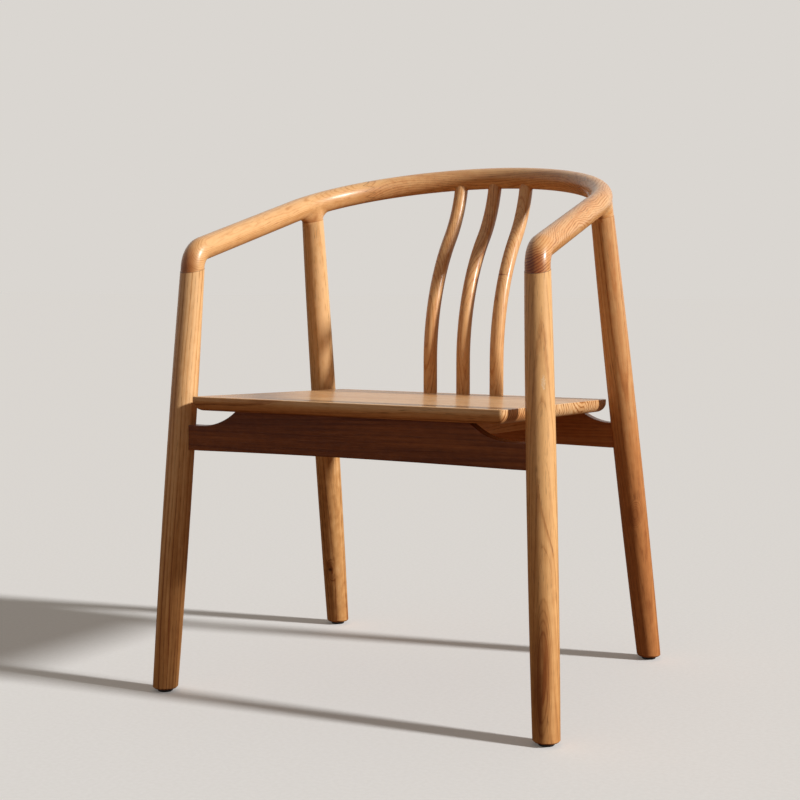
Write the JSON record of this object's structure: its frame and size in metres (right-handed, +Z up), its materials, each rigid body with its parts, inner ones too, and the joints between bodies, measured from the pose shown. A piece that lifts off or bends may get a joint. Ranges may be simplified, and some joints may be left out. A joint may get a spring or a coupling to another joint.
{
  "type": "horseshoe back armchair",
  "caption": "Low horseshoe back armchair in solid wood: round rail bent into arms and back, curved spindles, flat plank seat and splayed turned legs.",
  "frame": {"origin": "on the floor, midway between the chair's sides and between its front and back", "axes": "+X to the right of someone who faces the chair, +Y towards its back, +Z up"},
  "size_m": [0.6388, 0.5725, 0.7892],
  "materials": {
    "leg_front_left": "satin",
    "leg_front_right": "satin",
    "leg_rear_left": "satin",
    "leg_rear_right": "satin",
    "arm_left": "satin",
    "arm_right": "satin",
    "crest": "satin",
    "spindle": "satin",
    "seat": "satin",
    "apron": "satin",
    "bearer": "satin",
    "glide": "matte",
    "steel": "satin"
  },
  "bodies": {
    "root": {"front_left_leg": "leg_front_left", "front_right_leg": "leg_front_right", "rear_left_leg": "leg_rear_left", "rear_right_leg": "leg_rear_right", "front_left_glide": "glide", "front_right_glide": "glide", "rear_left_glide": "glide", "rear_right_glide": "glide", "front_apron": "apron", "rear_apron": "apron", "left_bearer": "bearer", "right_bearer": "bearer", "glide_nails": "steel", "seat_screws": "steel", "left_arm": "arm_left", "right_arm": "arm_right", "crest_rail": "crest", "left_spindle": "spindle", "middle_spindle": "spindle", "right_spindle": "spindle", "seat_board_1": "seat", "seat_board_2": "seat", "seat_board_3": "seat", "seat_board_4": "seat"}
  },
  "joints": []
}
